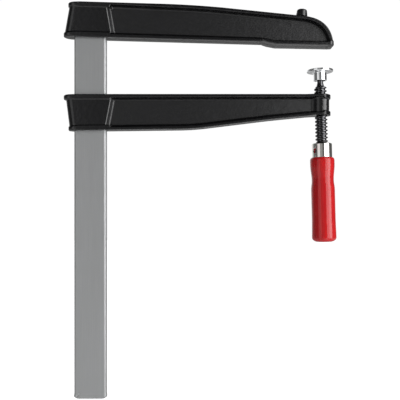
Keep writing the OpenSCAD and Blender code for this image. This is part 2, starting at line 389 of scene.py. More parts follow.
def lug(x, y, z):
    """Cast lug on the fixed arm's back, a leaning frustum."""
    dx, dz = x - LUG_AT[0], z - LUG_AT[1]
    h = dx * math.sin(LUG_LEAN) + dz * math.cos(LUG_LEAN)
    out = np.hypot(dx * math.cos(LUG_LEAN) - dz * math.sin(LUG_LEAN), y)
    taper = (LUG_BASE_R - LUG_TOP_R) / LUG_H
    side = (out - LUG_BASE_R + h * taper) / math.hypot(1, taper)
    return np.maximum(meet(side, h - LUG_H, LUG_EDGE_R), -1 - h)


def fixed_arm_field(x, y, z):
    crest = rim(CREST, flange_plan(x, y, FIXED_ENDS[0]), x, z, FIXED_ENDS[0])
    bottom = rim(BOTTOM, flange_plan(x, y, FIXED_ENDS[1]), x, z, FIXED_ENDS[1])
    pad_mid = (JAW_START - 6 + FIXED_TIP) / 2
    u = np.abs(x - pad_mid) - (FIXED_TIP - pad_mid) + JAW_CORNER
    v = np.abs(y) - JAW_HALF + JAW_CORNER
    pad_plan = np.hypot(np.maximum(u, 0), np.maximum(v, 0)) + np.minimum(np.maximum(u, v), 0) - JAW_CORNER
    pad = meet(outline_distance(PAD, x, z), pad_plan, JAW_EDGE_R)
    web = np.maximum(outline_distance(FIXED_WEB, x, z), np.abs(y) - WEB_HALF)
    z_slim, z_wide = FIXED_TOP - END_INSIDE, belly(RAIL_MID) + END_INSIDE
    core = join(web, socket(x, y, z, FIXED_SOCKET, FIXED_SOCKET_LEAN, z_slim, z_wide), RAMP_FOOT_R)
    rims = join(np.minimum(crest, bottom), pad, JAW_FILLET)
    rims = drafted(rims, outline_distance(FIXED_RECESS, x, z), y)
    arm = join(rims, core, inner_fillet(x, RAIL_IN + 6, FLANGE_W / 2, 3.5))
    arm = join(arm, lug(x, y, z), LUG_FILLET) - np.where(z > jaw_z(x) + 1, parting_ridge(y), 0)
    return cut(arm, rail_slot(x, y, FIT_GAP), 0.7)


# ---- Sliding arm ----

def slide_outlines():
    """Side-view outlines of the sliding arm's top flange, bottom flange, recess and web."""
    end = BOSS_X + NOSE_R + 1
    back = np.array([[SLIDE_ENDS[0] - 1, SLIDE_TOP], [end, SLIDE_TOP]])
    knee = curve([SLIDE_KNEE - [22, 0.2], SLIDE_KNEE, SLIDE_KNEE + [22, 2.9]], 10)
    chin = curve([SLIDE_CHIN - [20, 2.4], SLIDE_CHIN, [BOSS_X - 8, SLIDE_TIP]], 12)
    under = np.concatenate([[[SLIDE_ENDS[1] - 1, SLIDE_SOLE]], knee, chin, [[end, SLIDE_TIP]]])
    start = RAIL_IN + 8
    roof = np.array([[start, SLIDE_TOP - FLANGE_ROOT], [BOSS_X, SLIDE_TOP - FLANGE_TIP]])
    ground = np.concatenate([[[start, SLIDE_SOLE + FLANGE_ROOT]], shifted(under[1:-1], 1),
                             [[BOSS_X, SLIDE_TIP + FLANGE_TIP]]])
    recess = closed(roof, ground)
    start = RAIL_IN - 5
    low_line = shifted(under[1:-1], 1) - [0, LAP]
    low_line = np.concatenate([[[start, SLIDE_SOLE + FLANGE_ROOT - LAP]], low_line,
                               [[BOSS_X, SLIDE_TIP + FLANGE_TIP - LAP]]])
    top_line = np.array([[start, SLIDE_TOP - FLANGE_ROOT + LAP], [BOSS_X, SLIDE_TOP - FLANGE_TIP + LAP]])
    top_band, sole_band = closed(back, shifted(back, -1)), closed(under, shifted(under, 1))
    return top_band, sole_band, recess, closed(top_line, low_line)


TOP_BAND, SOLE_BAND, SLIDE_RECESS, SLIDE_WEB = slide_outlines()


def nosed_plan(x, y, left):
    """Plan of a flange with a round end over the boss."""
    bar = np.maximum(flange_plan(x, y, left), x - BOSS_X)
    return join(bar, np.hypot(x - BOSS_X, y) - NOSE_R, NOSE_BLEND_R)


def sliding_arm_field(x, y, z):
    top = rim(TOP_BAND, nosed_plan(x, y, SLIDE_ENDS[0]), x, z, SLIDE_ENDS[0])
    sole = rim(SOLE_BAND, nosed_plan(x, y, SLIDE_ENDS[1]), x, z, SLIDE_ENDS[1])
    web = np.maximum(outline_distance(SLIDE_WEB, x, z), np.abs(y) - WEB_HALF)
    boss_mid, boss_half = (SLIDE_TOP + SLIDE_TIP) / 2, (SLIDE_TOP - SLIDE_TIP) / 2 - END_INSIDE
    boss = np.maximum(np.hypot(x - BOSS_X, y) - BOSS_R, np.abs(z - boss_mid) - boss_half)
    z_slim, z_wide = SLIDE_SOLE + END_INSIDE, SLIDE_TOP - END_INSIDE
    core = join(web, socket(x, y, z, SLIDE_SOCKET, SLIDE_SOCKET_LEAN, z_slim, z_wide), RAMP_FOOT_R)
    core = join(core, boss, BOSS_FILLET)
    rims = drafted(np.minimum(top, sole), outline_distance(SLIDE_RECESS, x, z), y)
    arm = join(rims, core, inner_fillet(x, RAIL_IN + 6, BOSS_X - BOSS_R, 1.6))
    arm = arm - parting_ridge(y)
    arm = cut(arm, rail_slot(x, y, SLOT_GAP), 0.8)
    off, _ = on_axis(x, z)
    return cut(arm, np.hypot(off, y) - THREAD_R - BORE_GAP, BORE_EDGE_R)


# ---- Ferrule ----

def cross_hole(x, y, z):
    """The hole through ferrule, handle and tang that takes the cross pin."""
    off, down = on_axis(x, z)
    aside = y * math.cos(PIN_TURN) - off * math.sin(PIN_TURN)
    return np.hypot(aside, down - PIN_AT) - PIN_R - FIT_GAP


def ferrule_field(x, y, z):
    off, down = on_axis(x, z)
    out = np.hypot(off, y)
    shell = meet(out - FERRULE_R, FERRULE_AT - down, 1.6)
    shell = meet(shell, down - HANDLE_AT, 0.35)
    inside = np.maximum(out - FERRULE_R + FERRULE_WALL - FIT_GAP, FERRULE_AT + FERRULE_WALL - down)
    shell = cut(shell, inside, 0.3)
    shell = cut(shell, out - TANG_R - FIT_GAP, 0.3)
    return cut(shell, cross_hole(x, y, z), 0.5)


# ---- Skinning a field ----

def steps(*spans):
    """Grid stations along one axis: (start, end, step) spans that follow each other."""
    parts = [np.linspace(a, b, max(2, round((b - a) / step) + 1))[:-1] for a, b, step in spans]
    return np.concatenate(parts + [[spans[-1][1]]])


def skin(field, *axes):
    """Quads along a field's surface, with one vertex in each grid cell that the surface crosses."""
    values = field(*np.meshgrid(*axes, indexing="ij", sparse=True))
    cells = tuple(n - 1 for n in values.shape)
    total = np.zeros((math.prod(cells), 4))
    quads = []
    for a in range(3):
        b, c = (a + 1) % 3, (a + 2) % 3
        low, high = [slice(None)] * 3, [slice(None)] * 3
        low[a], high[a] = slice(None, -1), slice(1, None)
        start, end = values[tuple(low)], values[tuple(high)]
        at = np.nonzero((start < 0) != (end < 0))
        t = start[at] / (start[at] - end[at])
        point = np.stack([axes[i][at[i]] for i in range(3)], axis=1).astype(float)
        point[:, a] = mix(point[:, a], axes[a][at[a] + 1], t)
        corners = []
        for db, dc in ((-1, -1), (0, -1), (0, 0), (-1, 0)):
            cell = list(at)
            cell[b], cell[c] = at[b] + db, at[c] + dc
            flat = np.ravel_multi_index(cell, cells)
            corners.append(flat)
            for i in range(3):
                total[:, i] += np.bincount(flat, point[:, i], len(total))
            total[:, 3] += np.bincount(flat, minlength=len(total))
        around = np.stack(corners, axis=1)
        quads.append(np.where((start[at] < 0)[:, None], around, around[:, ::-1]))
    used = total[:, 3] > 0
    index = np.cumsum(used) - 1
    return total[used, :3] / total[used, 3:], index[np.concatenate(quads)]


def slopes(field, points, h):
    """Gradient of a field at some points, and how sharply its surface bends there (positive on edges)."""
    here = field(*points.T)
    gradient = np.empty_like(points)
    bend = -6 * here
    for i in range(3):
        shift = np.zeros(3)
        shift[i] = h
        ahead, behind = field(*(points + shift).T), field(*(points - shift).T)
        gradient[:, i] = (ahead - behind) / (2 * h)
        bend = bend + ahead + behind
    return here, gradient, bend / (h * h)


def settle(field, points, quads, rounds):
    """Spreads the vertices out evenly and brings them back to the field's surface."""
    links = np.concatenate([quads[:, [i, (i + 1) % 4]] for i in range(4)])
    count = np.bincount(links[:, 0], minlength=len(points))[:, None]
    for i in range(rounds + 1):
        if i:
            near = points[links[:, 1]]
            total = np.stack([np.bincount(links[:, 0], near[:, k], len(points)) for k in range(3)], axis=1)
            points = mix(points, total / count, 0.5)
        for _ in range(2):
            here, gradient, _ = slopes(field, points, 0.05)
            points = points - gradient * (here / np.maximum((gradient ** 2).sum(1), 0.3))[:, None]
    return points


def skinned(name, field, axes, rounds=2):
    """An object with a field's surface as its mesh, its exact normals, and how sharp it is at each point."""
    points, quads = skin(field, *axes)
    points = settle(field, points, quads, rounds)
    _, gradient, bend = slopes(field, points, 0.3)
    normals = gradient / np.linalg.norm(gradient, axis=1)[:, None]
    mesh = bpy.data.meshes.new(name)
    mesh.from_pydata((points * MM).tolist(), [], quads.tolist())
    mesh.polygons.foreach_set("use_smooth", [True] * len(mesh.polygons))
    mesh.normals_split_custom_set_from_vertices(normals.tolist())
    attribute = mesh.attributes.new("sharpness", "FLOAT", "POINT")
    attribute.data.foreach_set("value", bend.astype(np.float32))
    return placed(name, mesh)


# ---- Turned and lofted pieces ----

def placed(name, mesh):
    piece = bpy.data.objects.new(name, mesh)
    bpy.context.scene.collection.objects.link(piece)
    return piece


def soften(corners, n=6):
    """A profile whose corners (radius, down, fillet) are rounded to their fillets."""
    points = []
    for i, (r, s, fillet) in enumerate(corners):
        here = np.array([r, s], float)
        if not fillet or i in (0, len(corners) - 1):
            points.append(here)
            continue
        back, ahead = np.array(corners[i - 1][:2]) - here, np.array(corners[i + 1][:2]) - here
        back_l, ahead_l = np.linalg.norm(back), np.linalg.norm(ahead)
        back, ahead = back / back_l, ahead / ahead_l
        half = math.acos(np.clip(back @ ahead, -1, 1)) / 2
        length = min(fillet / math.tan(half), 0.49 * back_l, 0.49 * ahead_l)
        centre = here + (back + ahead) / np.linalg.norm(back + ahead) * length / math.cos(half)
        a, b = here + back * length - centre, here + ahead * length - centre
        sweep = math.pi - 2 * half
        for k in range(n + 1):
            t = k / n
            spoke = (a * math.sin((1 - t) * sweep) + b * math.sin(t * sweep)) / math.sin(sweep)
            points.append(centre + spoke)
    return points


def ring_points(r, down, n, axes):
    """n points on a ring round an axis, given as (across, back, up) and where down is 0."""
    across, back, up, origin = axes
    turns = np.arange(n) * 2 * math.pi / n
    return origin - down * up + r * (np.cos(turns)[:, None] * across + np.sin(turns)[:, None] * back)


SPINDLE_AXES = (ACROSS, BACK, UP, np.zeros(3))


def add_rings(bm, profile, n, axes=SPINDLE_AXES):
    """Turns a profile into faces, closing it with a fan where it reaches the axis."""
    rings = []
    for r, down in profile:
        if r < 1e-6:
            rings.append([bm.verts.new((axes[3] - down * axes[2]) * MM)])
        else:
            rings.append([bm.verts.new(p * MM) for p in ring_points(r, down, n, axes)])
    for upper, lower in zip(rings, rings[1:]):
        for j in range(n):
            k = (j + 1) % n
            corners = [upper[j % len(upper)], lower[j % len(lower)],
                       lower[k % len(lower)], upper[k % len(upper)]]
            bm.faces.new(list(dict.fromkeys(corners)))


def finished(name, bm):
    """The bmesh as a smooth object whose flat faces keep their own shading."""
    bmesh.ops.recalc_face_normals(bm, faces=bm.faces)
    mesh = bpy.data.meshes.new(name)
    bm.to_mesh(mesh)
    bm.free()
    mesh.polygons.foreach_set("use_smooth", [True] * len(mesh.polygons))
    piece = placed(name, mesh)
    piece.modifiers.new("flat_faces", "WEIGHTED_NORMAL")
    return piece


def turned(name, profile, n=128, axes=SPINDLE_AXES):
    bm = bmesh.new()
    add_rings(bm, profile, n, axes)
    return finished(name, bm)


def drilled(piece, drill):
    """Cuts the drill's shape out of a piece for good, and removes the drill."""
    boolean = piece.modifiers.new("drill", "BOOLEAN")
    boolean.object = drill
    boolean.solver = "EXACT"
    piece.modifiers.move(len(piece.modifiers) - 1, 0)
    bpy.context.view_layer.update()
    with_hole = bpy.data.meshes.new_from_object(piece.evaluated_get(bpy.context.evaluated_depsgraph_get()))
    piece.modifiers.clear()
    piece.data = with_hole
    piece.modifiers.new("flat_faces", "WEIGHTED_NORMAL")
    bpy.data.objects.remove(drill)
    return piece


def cross_axes():
    """The cross pin's own axis, through the spindle's."""
    along = math.cos(PIN_TURN) * ACROSS + math.sin(PIN_TURN) * BACK
    side = -math.sin(PIN_TURN) * ACROSS + math.cos(PIN_TURN) * BACK
    return (side, UP, -along, -PIN_AT * UP)


def rail_piece():
    """The drawn bar, with its lower end swaged out to stop the sliding arm."""
    low, high = RAIL_LOW[2], RAIL_HIGH[2]
    face_n, edge_n, corner_n = 76, 10, 6
    stations = [low, low + 0.2, low + 0.4] + list(np.arange(low + 0.6, low + 11, 0.4)) + [low + 13]
    stations += list(np.linspace(low + 30, high - 12, 22)) + [high - 1, high - 0.4, high]
    bulge = RAIL_W / 2 + STOP_BULGE
    half_w = [(low, RAIL_W / 2 - STOP_CHAMFER_IN), (low + STOP_CHAMFER, bulge - 0.1),
              (low + STOP_WIDEST[0], bulge), (low + STOP_WIDEST[1], bulge - 0.1),
              (low + STOP_H, RAIL_W / 2), (high - 1, RAIL_W / 2), (high, RAIL_W / 2 - TOP_CHAMFER)]
    half_t = [(low, RAIL_T / 2 - END_CHAMFER_T), (low + END_CHAMFER_T, RAIL_T / 2),
              (high - 1, RAIL_T / 2), (high, RAIL_T / 2 - TOP_CHAMFER)]
    bm = bmesh.new()
    loops = []
    for z in stations:
        w, t = np.interp(z, *zip(*half_w)), np.interp(z, *zip(*half_t))
        loops.append([bm.verts.new(np.array([RAIL_MID + x, y, z]) * MM)
                      for x, y in bar_loop(w, t, z - low, face_n, edge_n, corner_n)])
    n = len(loops[0])
    for lower, upper in zip(loops, loops[1:]):
        for j in range(n):
            bm.faces.new([lower[j], lower[(j + 1) % n], upper[(j + 1) % n], upper[j]])
    bm.faces.new(loops[0][::-1])
    bm.faces.new(loops[-1])
    return finished("drawn_rail", bm)


def bar_loop(w, t, height, face_n, edge_n, corner_n):
    """Cross-section of the bar at a height above its lower end, with its punch marks."""
    r = min(RAIL_R, t - 0.5)
    points = []
    corners = [(w - r, t - r, 0), (-w + r, t - r, 90), (-w + r, -t + r, 180), (w - r, -t + r, 270)]
    for i, (cx, cy, start) in enumerate(corners):
        for k in range(corner_n + 1):
            a = math.radians(start + 90 * k / corner_n)
            points.append([cx + r * math.cos(a), cy + r * math.sin(a)])
        nx, ny, _ = corners[(i + 1) % 4]
        n = face_n if i % 2 == 0 else edge_n
        last = np.array(points[-1])
        far = np.array([nx, last[1]]) if i % 2 == 0 else np.array([last[0], ny])
        points += [mix(last, far, k / n).tolist() for k in range(1, n)]
    for p in points:
        for inset, mark_height in PUNCH_MARKS:
            away = math.hypot(p[0] + RAIL_W / 2 - inset, height - mark_height)
            if abs(p[1]) > t * 0.6:
                p[1] -= math.copysign(PUNCH_DEPTH * math.exp(-((away / PUNCH_R) ** 2)), p[1])
    return points


def thread_rows():
    """Rows of one pitch of the thread: offset from the crest's middle, and height from root to crest."""
    flank = [(0.62, 1.0), (0.74, 0.96), (0.9, 0.82), (1.2, 0.5), (1.5, 0.18), (1.68, 0.04), (1.82, 0.0)]
    return [(-o, h) for o, h in reversed(flank)] + [(0, 1.0)] + flank + [(PITCH / 2, 0.0)]


def thread_radius(height, down):
    """Thread form cut into a blank that is chamfered at both ends."""
    blank = np.interp(down, [THREAD_START, THREAD_START + THREAD_CHAMFER, FERRULE_AT - 2.2, FERRULE_AT],
                      [NECK_ROOT_R, THREAD_R, THREAD_R, TANG_R])
    return np.minimum(mix(ROOT_R, THREAD_R, height), blank)


def sphere(r, start, end, n):
    """n profile points along a sphere round the ball's centre, from one latitude to another."""
    return [(r * math.cos(a), BALL_AT + r * math.sin(a)) for a in np.linspace(start, end, n)]


def spindle_piece():
    """Ball, neck, right-handed trapezoidal thread and tang as one skin."""
    n = 96
    bm = bmesh.new()
    groove = [(RING_R + GROOVE_R * math.cos(a), BALL_AT + GROOVE_R * math.sin(a))
              for a in np.linspace(-math.pi / 2, -3 * math.pi / 2, 9)]
    edge = math.asin(GROOVE_R / BALL_R)
    neck_edge = math.acos(NECK_R / BALL_R)
    ball_top = sphere(BALL_R, -math.pi / 2, -edge, 20)
    ball_low = sphere(BALL_R, edge, neck_edge, 12)
    flare = curve([[NECK_R, NECK_AT + 0.8], [NECK_R + 0.1, NECK_AT + 4],
                   [NECK_ROOT_R - 0.3, THREAD_START - 2], [NECK_ROOT_R, THREAD_START]], 10).tolist()
    ball_top[0] = (0, BALL_AT - BALL_R)
    add_rings(bm, ball_top + groove + ball_low + flare, n)
    rows = thread_rows()
    first = math.floor((THREAD_START - CREST_AT) / PITCH) - 1
    last = math.ceil((FERRULE_AT - CREST_AT) / PITCH) + 2
    turns = np.arange(n) / n
    around = np.cos(2 * math.pi * turns)[:, None] * ACROSS + np.sin(2 * math.pi * turns)[:, None] * BACK
    grid = []
    for k in range(first, last):
        for offset, height in rows:
            down = np.clip(CREST_AT + k * PITCH + offset - PITCH * turns, THREAD_START, FERRULE_AT)
            r = thread_radius(height, down)[:, None]
            grid.append([bm.verts.new(p) for p in (r * around - down[:, None] * UP) * MM])
    per_turn = len(rows)
    for i in range(len(grid) - 1):
        for j in range(n):
            if j < n - 1:
                bm.faces.new([grid[i][j], grid[i + 1][j], grid[i + 1][j + 1], grid[i][j + 1]])
            elif i >= per_turn:
                bm.faces.new([grid[i][j], grid[i + 1][j], grid[i + 1 - per_turn][0], grid[i - per_turn][0]])
    add_rings(bm, soften([(TANG_R, FERRULE_AT, 0), (TANG_R, TANG_END, 1.2), (0, TANG_END, 0)]), n)
    bmesh.ops.remove_doubles(bm, verts=bm.verts, dist=WELD * MM)
    bmesh.ops.dissolve_degenerate(bm, edges=bm.edges, dist=WELD * MM)
    loose = [v for v in bm.verts if not v.link_faces]
    bmesh.ops.delete(bm, geom=loose, context="VERTS")
    return drilled(finished("threaded_spindle", bm), drill_piece())


def drill_piece():
    """What is drilled away for the cross pin, longer than the handle is thick."""
    r, reach = PIN_R + FIT_GAP, 2 * HANDLE_R
    return turned("drill", [(0, -reach), (r, -reach), (r, reach), (0, reach)], 48, cross_axes())


def plate_piece():
    """Pressure plate: a flat disc with a collar, whose spherical seat holds the spindle's ball."""
    roof = GAP + PLATE_FLOOR
    low = BALL_AT + math.sqrt(SEAT_R ** 2 - MOUTH_R ** 2)
    seat = sphere(SEAT_R, math.asin((low - BALL_AT) / SEAT_R), math.asin((roof - BALL_AT) / SEAT_R), 20)
    outside = soften([(0, GAP, 0), (PLATE_R, GAP, 0.7), (PLATE_R, GAP + PLATE_T, 1.1),
                      (COLLAR_R, GAP + PLATE_T, 1.4), (COLLAR_R, COLLAR_END, 1.3),
                      (MOUTH_R, COLLAR_END, 0.4), (*seat[0], 0)])
    return turned("swivel_plate", outside + seat[1:] + [(0, roof)], 160)


def ring_piece():
    """Snap ring in the ball's groove, open by a small gap so that it can spring."""
    n, wire_n = 72, 16
    gap = math.radians(14)
    bm = bmesh.new()
    hoops = []
    for a in np.linspace(gap / 2, 2 * math.pi - gap / 2, n):
        out = math.cos(a) * ACROSS + math.sin(a) * BACK
        middle = RING_R * out - BALL_AT * UP
        hoops.append([bm.verts.new((middle + RING_WIRE_R * (math.cos(b) * out + math.sin(b) * UP)) * MM)
                      for b in np.arange(wire_n) * 2 * math.pi / wire_n])
    for one, two in zip(hoops, hoops[1:]):
        for j in range(wire_n):
            bm.faces.new([one[j], one[(j + 1) % wire_n], two[(j + 1) % wire_n], two[j]])
    bm.faces.new(hoops[0][::-1])
    bm.faces.new(hoops[-1])
    return finished("snap_ring", bm)


def pin_piece():
    """Plain pin with chamfered ends."""
    corners = [(0, -PIN_HALF, 0), (PIN_R, -PIN_HALF, 0.6), (PIN_R, PIN_HALF, 0.6), (0, PIN_HALF, 0)]
    return turned("locking_pin", soften(corners), 48, cross_axes())


def handle_piece():
    """Turned handle: round shoulder, bulb, waist and a long barrel, with a spigot up into the ferrule."""
    waist, barrel = HANDLE_R - WAIST_IN, HANDLE_R - BARREL_IN
    spigot = FERRULE_R - FERRULE_WALL
    top, end = HANDLE_AT, HANDLE_END

    def ease(t):
        return (1 - math.cos(math.pi * t)) / 2

    shoulder = [(HANDLE_R - 3 + 3 * math.cos(a), top + 4.2 - 4.2 * math.sin(a))
                for a in np.linspace(math.pi / 2, 0, 12)]
    neck = [(mix(HANDLE_R, waist, ease(t)), top + 9 + 23 * t) for t in np.linspace(0, 1, 20)]
    swell = [(mix(waist, barrel, ease(t)), top + 32 + 13 * t) for t in np.linspace(0, 1, 14)[1:]]
    r = HANDLE_END_R
    barrel_end = [(HANDLE_R - r + r * math.cos(a), end - r + r * math.sin(a))
                  for a in np.linspace(0, math.pi / 2, 14)]
    bore = TANG_R + FIT_GAP
    spigot_top = FERRULE_AT + FERRULE_WALL + FIT_GAP
    profile = [(0, TANG_END + TANG_CLEAR), (bore, TANG_END + TANG_CLEAR), (bore, spigot_top),
               (spigot, spigot_top), (spigot, top)]
    profile += shoulder + neck + swell + [(barrel, end - 30)] + barrel_end + [(0, end)]
    return drilled(turned("turned_handle", profile, 128), drill_piece())


# ---- Materials ----

class Surface:
    """A material and a short way to add nodes to it."""

    def __init__(self, name):
        self.material = bpy.data.materials.new(name)
        self.material.use_nodes = True
        self.tree = self.material.node_tree
        self.shader = self.tree.nodes["Principled BSDF"]

    def node(self, kind, inputs=None, **settings):
        """Adds a node; an input is a value, or another node's output to link."""
        added = self.tree.nodes.new(kind)
        for key, value in settings.items():
            setattr(added, key, value)
        for key, value in (inputs or {}).items():
            self.feed(added, key, value)
        return added

    def feed(self, node, key, value):
        if isinstance(value, bpy.types.NodeSocket):
            self.tree.links.new(value, node.inputs[key])
        else:
            node.inputs[key].default_value = value

    def set(self, **inputs):
        for key, value in inputs.items():
            self.feed(self.shader, key.replace("_", " "), value)

    def coordinates(self, stretch=(1, 1, 1)):
        """Places on the object in metres, squeezed so that a pattern comes out stretched."""
        place = self.node("ShaderNodeTexCoord").outputs["Object"]
        scale = tuple(1 / s for s in stretch)
        return self.node("ShaderNodeMapping", {"Vector": place, "Scale": scale}).outputs["Vector"]

    def noise(self, size, stretch=(1, 1, 1), detail=3.0, roughness=0.5):
        """Noise whose lumps are about size millimetres."""
        inputs = {"Vector": self.coordinates(stretch), "Scale": 1 / (size * MM), "Detail": detail,
                  "Roughness": roughness}
        return self.node("ShaderNodeTexNoise", inputs).outputs[0]

    def spread(self, value, low, high, to_low, to_high):
        """Maps low..high to to_low..to_high, and holds it there."""
        inputs = {0: value, 1: low, 2: high, 3: to_low, 4: to_high}
        return self.node("ShaderNodeMapRange", inputs).outputs[0]

    def blend(self, share, a, b):
        """Mixes two colours."""
        return self.node("ShaderNodeMix", {0: share, 6: a, 7: b}, data_type="RGBA").outputs[2]

    def math(self, operation, a, b=0.0):
        return self.node("ShaderNodeMath", {0: a, 1: b}, operation=operation).outputs[0]

    def bump(self, height, distance, strength=1.0, below=None):
        inputs = {"Height": height, "Distance": distance * MM, "Strength": strength}
        if below:
            inputs["Normal"] = below
        return self.node("ShaderNodeBump", inputs).outputs[0]


def black_casting():
    """Sand-cast iron under a thin black lacquer: grainy, a little polished on its edges, which are lightened
    both as wear and as a painted highlight, with painted shade darkening its concave creases.
    """
    s = Surface("black_lacquered_casting")
    sharp = s.node("ShaderNodeAttribute", attribute_name="sharpness").outputs["Fac"]
    patches = s.noise(14, detail=4)
    grain = s.noise(1.6, detail=4, roughness=0.6)
    fine = s.noise(0.45, detail=2)
    waves = s.noise(6, detail=2)
    # Edge wear and painted highlight: convex edges, in patches, are lightened and made smoother
    edge_wear_and_highlight = s.math("MULTIPLY", s.spread(sharp, 0.2, 0.6, 0, 1), s.spread(patches, 0.42, 0.6, 0.15, 1))
    # Painted shade: concave creases and fillets (negative sharpness) are picked out to be darkened
    painted_crease_shade = s.spread(sharp, -0.1, -0.3, 0, 1)
    base = s.blend(s.spread(patches, 0.3, 0.7, 0, 1),
                   (0.0006, 0.0006, 0.0011, 1), (0.0014, 0.0014, 0.0021, 1))
    # Painted shade in the creases: the base colour is darkened towards near-black there
    base = s.blend(s.math("MULTIPLY", painted_crease_shade, 0.6), base, (0.0008, 0.0008, 0.0009, 1))
    # Edge wear and painted highlight: the base colour is lightened on convex edges
    base = s.blend(s.math("MULTIPLY", edge_wear_and_highlight, 0.4), base, (0.012, 0.012, 0.013, 1))
    depth = s.node("ShaderNodeSeparateXYZ", {0: s.coordinates()}).outputs["Y"]
    panel_share = s.spread(s.math("ABSOLUTE", depth), 0.0045, 0.009, 1, 0)
    rough = s.math("ADD", s.spread(grain, 0.3, 0.7, 0.17, 0.25), s.math("MULTIPLY", panel_share, 0.16))
    rough = s.math("SUBTRACT", rough, s.math("MULTIPLY", edge_wear_and_highlight, 0.04))
    bumps = s.bump(grain, 0.2, 0.5, s.bump(waves, 0.5, 0.45))
    s.set(Base_Color=base, Roughness=rough, Normal=s.bump(fine, 0.03, 0.5, bumps))
    s.set(Specular_IOR_Level=0.64)
    return s.material


def drawn_steel():
    """Bright drawn flat bar: fine lines along it, and a faintly clouded oxide."""
    s = Surface("drawn_steel")
    lines = s.noise(0.5, stretch=(1, 1, 120), detail=3)
    broad = s.noise(4, stretch=(1, 1, 60), detail=3)
    clouds = s.noise(35, detail=4)
    base = s.blend(s.spread(lines, 0.3, 0.7, 0, 1), (0.36, 0.365, 0.37, 1), (0.42, 0.425, 0.43, 1))
    base = s.blend(s.spread(clouds, 0.35, 0.7, 0, 0.5), base, (0.38, 0.39, 0.39, 1))
    rough = s.math("ADD", s.spread(broad, 0.3, 0.7, 0.42, 0.5), s.spread(lines, 0.3, 0.7, -0.03, 0.03))
    s.set(Base_Color=base, Roughness=rough, Normal=s.bump(lines, 0.03, 0.35, s.bump(broad, 0.05, 0.2)))
    s.set(Metallic=0.75)
    return s.material


def bright_zinc(name, tint_a, tint_b, roughness):
    """Bright plated steel with a faintly coloured film and fine rubbing marks."""
    s = Surface(name)
    film = s.noise(9, detail=3)
    marks = s.noise(0.35, stretch=(1, 1, 14), detail=3)
    smears = s.noise(3.5, detail=4, roughness=0.6)
    base = s.blend(s.spread(film, 0.35, 0.65, 0, 1), tint_a, tint_b)
    rough = s.spread(smears, 0.3, 0.7, roughness, roughness + 0.05)
    s.set(Base_Color=base, Roughness=rough, Normal=s.bump(marks, 0.012, 0.25))
    s.set(Metallic=1.0)
    return s.material


def blackened_steel():
    """Rolled thread with an oiled black finish, rubbed brighter in random patches."""
    s = Surface("blackened_steel")
    rub = s.noise(2.5, detail=4)
    fine = s.noise(0.3, detail=3)
    base = s.blend(s.spread(rub, 0.4, 0.65, 0, 1), (0.075, 0.075, 0.079, 1), (0.115, 0.115, 0.12, 1))
    rough = s.spread(fine, 0.3, 0.7, 0.07, 0.13)
    s.set(Base_Color=base, Roughness=rough, Normal=s.bump(fine, 0.02, 0.4))
    s.set(Metallic=1.0)
    return s.material


def spring_steel():
    """Dull grey heat-treated steel, for the snap ring and the cross pin."""
    s = Surface("spring_steel")
    scale = s.noise(0.8, detail=3)
    base = s.blend(s.spread(scale, 0.35, 0.65, 0, 1), (0.16, 0.16, 0.17, 1), (0.26, 0.26, 0.27, 1))
    s.set(Base_Color=base, Roughness=s.spread(scale, 0.3, 0.7, 0.25, 0.4), Normal=s.bump(scale, 0.01, 0.4))
    s.set(Metallic=1.0)
    return s.material


def red_lacquer():
    """Turned beech under glossy red lacquer: the grain shows only as a faint relief and shade."""
    s = Surface("red_lacquered_beech")
    fibres = s.noise(0.7, stretch=(1, 1, 26), detail=3)
    growth = s.noise(5, stretch=(1, 1, 14), detail=3)
    peel = s.noise(2.2, detail=2)
    base = s.blend(s.spread(growth, 0.32, 0.68, 0, 1), (0.43, 0.006, 0.010, 1), (0.50, 0.010, 0.010, 1))
    base = s.blend(s.spread(fibres, 0.55, 0.8, 0, 0.35), base, (0.36, 0.005, 0.008, 1))
    s.set(Base_Color=base, Roughness=s.spread(fibres, 0.3, 0.7, 0.34, 0.42),
          Normal=s.bump(fibres, 0.02, 0.3, s.bump(growth, 0.08, 0.2)))
    s.set(Coat_Weight=0.8, Coat_Roughness=0.08, Coat_Normal=s.bump(peel, 0.01, 0.35),
          Specular_IOR_Level=0.05)
    return s.material


# ---- Stage, in metres ----

SENSOR_WIDTH = 36
LENS = 56.41
CAMERA_AWAY = 0.88
CAMERA_RISE = 0.0005
FLOOR_REACH = 6.0
FLOOR_CLEAR = 0.002
# Lights: name, azimuth and elevation in degrees, distance, width, height, radiance
PANELS = [("fill", -42, 0, 1.2, 0.70, 1.9, 0.62),
          ("key_inner", 35, 2, 1.5, 0.56, 2.6, 2.8),
          ("key_outer", 59, 2, 1.5, 0.70, 2.6, 4.8)]
# Brightness of the room round the clamp: (azimuth in degrees, 0 where the camera stands, brightness)
ROOM = [(-180, 1.0), (-150, 0.95), (-130, 0.55), (-112, 0.14), (-70, 0.12), (-27, 0.26), (-15, 0.34),
        (0, 0.14), (17, 0.14), (25, 0.3), (84, 0.25), (98, 0.08), (135, 0.1), (152, 0.9), (180, 1.0)]


def aimed(obj, target):
    """Points a light or camera at a place."""
    way = np.array(target) - np.array(obj.location)
    tilt = math.acos(-way[2] / np.linalg.norm(way))
    obj.rotation_euler = (tilt, 0, math.atan2(way[1], way[0]) - math.pi / 2)


def camera(centre):
    """Level camera in front of the clamp, at the middle of its height."""
    data = bpy.data.cameras.new("camera")
    data.sensor_width = SENSOR_WIDTH
    data.lens = LENS
    seen = bpy.data.objects.new("camera", data)
    bpy.context.scene.collection.objects.link(seen)
    seen.location = (centre[0], -CAMERA_AWAY, centre[2] + CAMERA_RISE)
    seen.rotation_euler = (math.pi / 2, 0, 0)
    bpy.context.scene.camera = seen


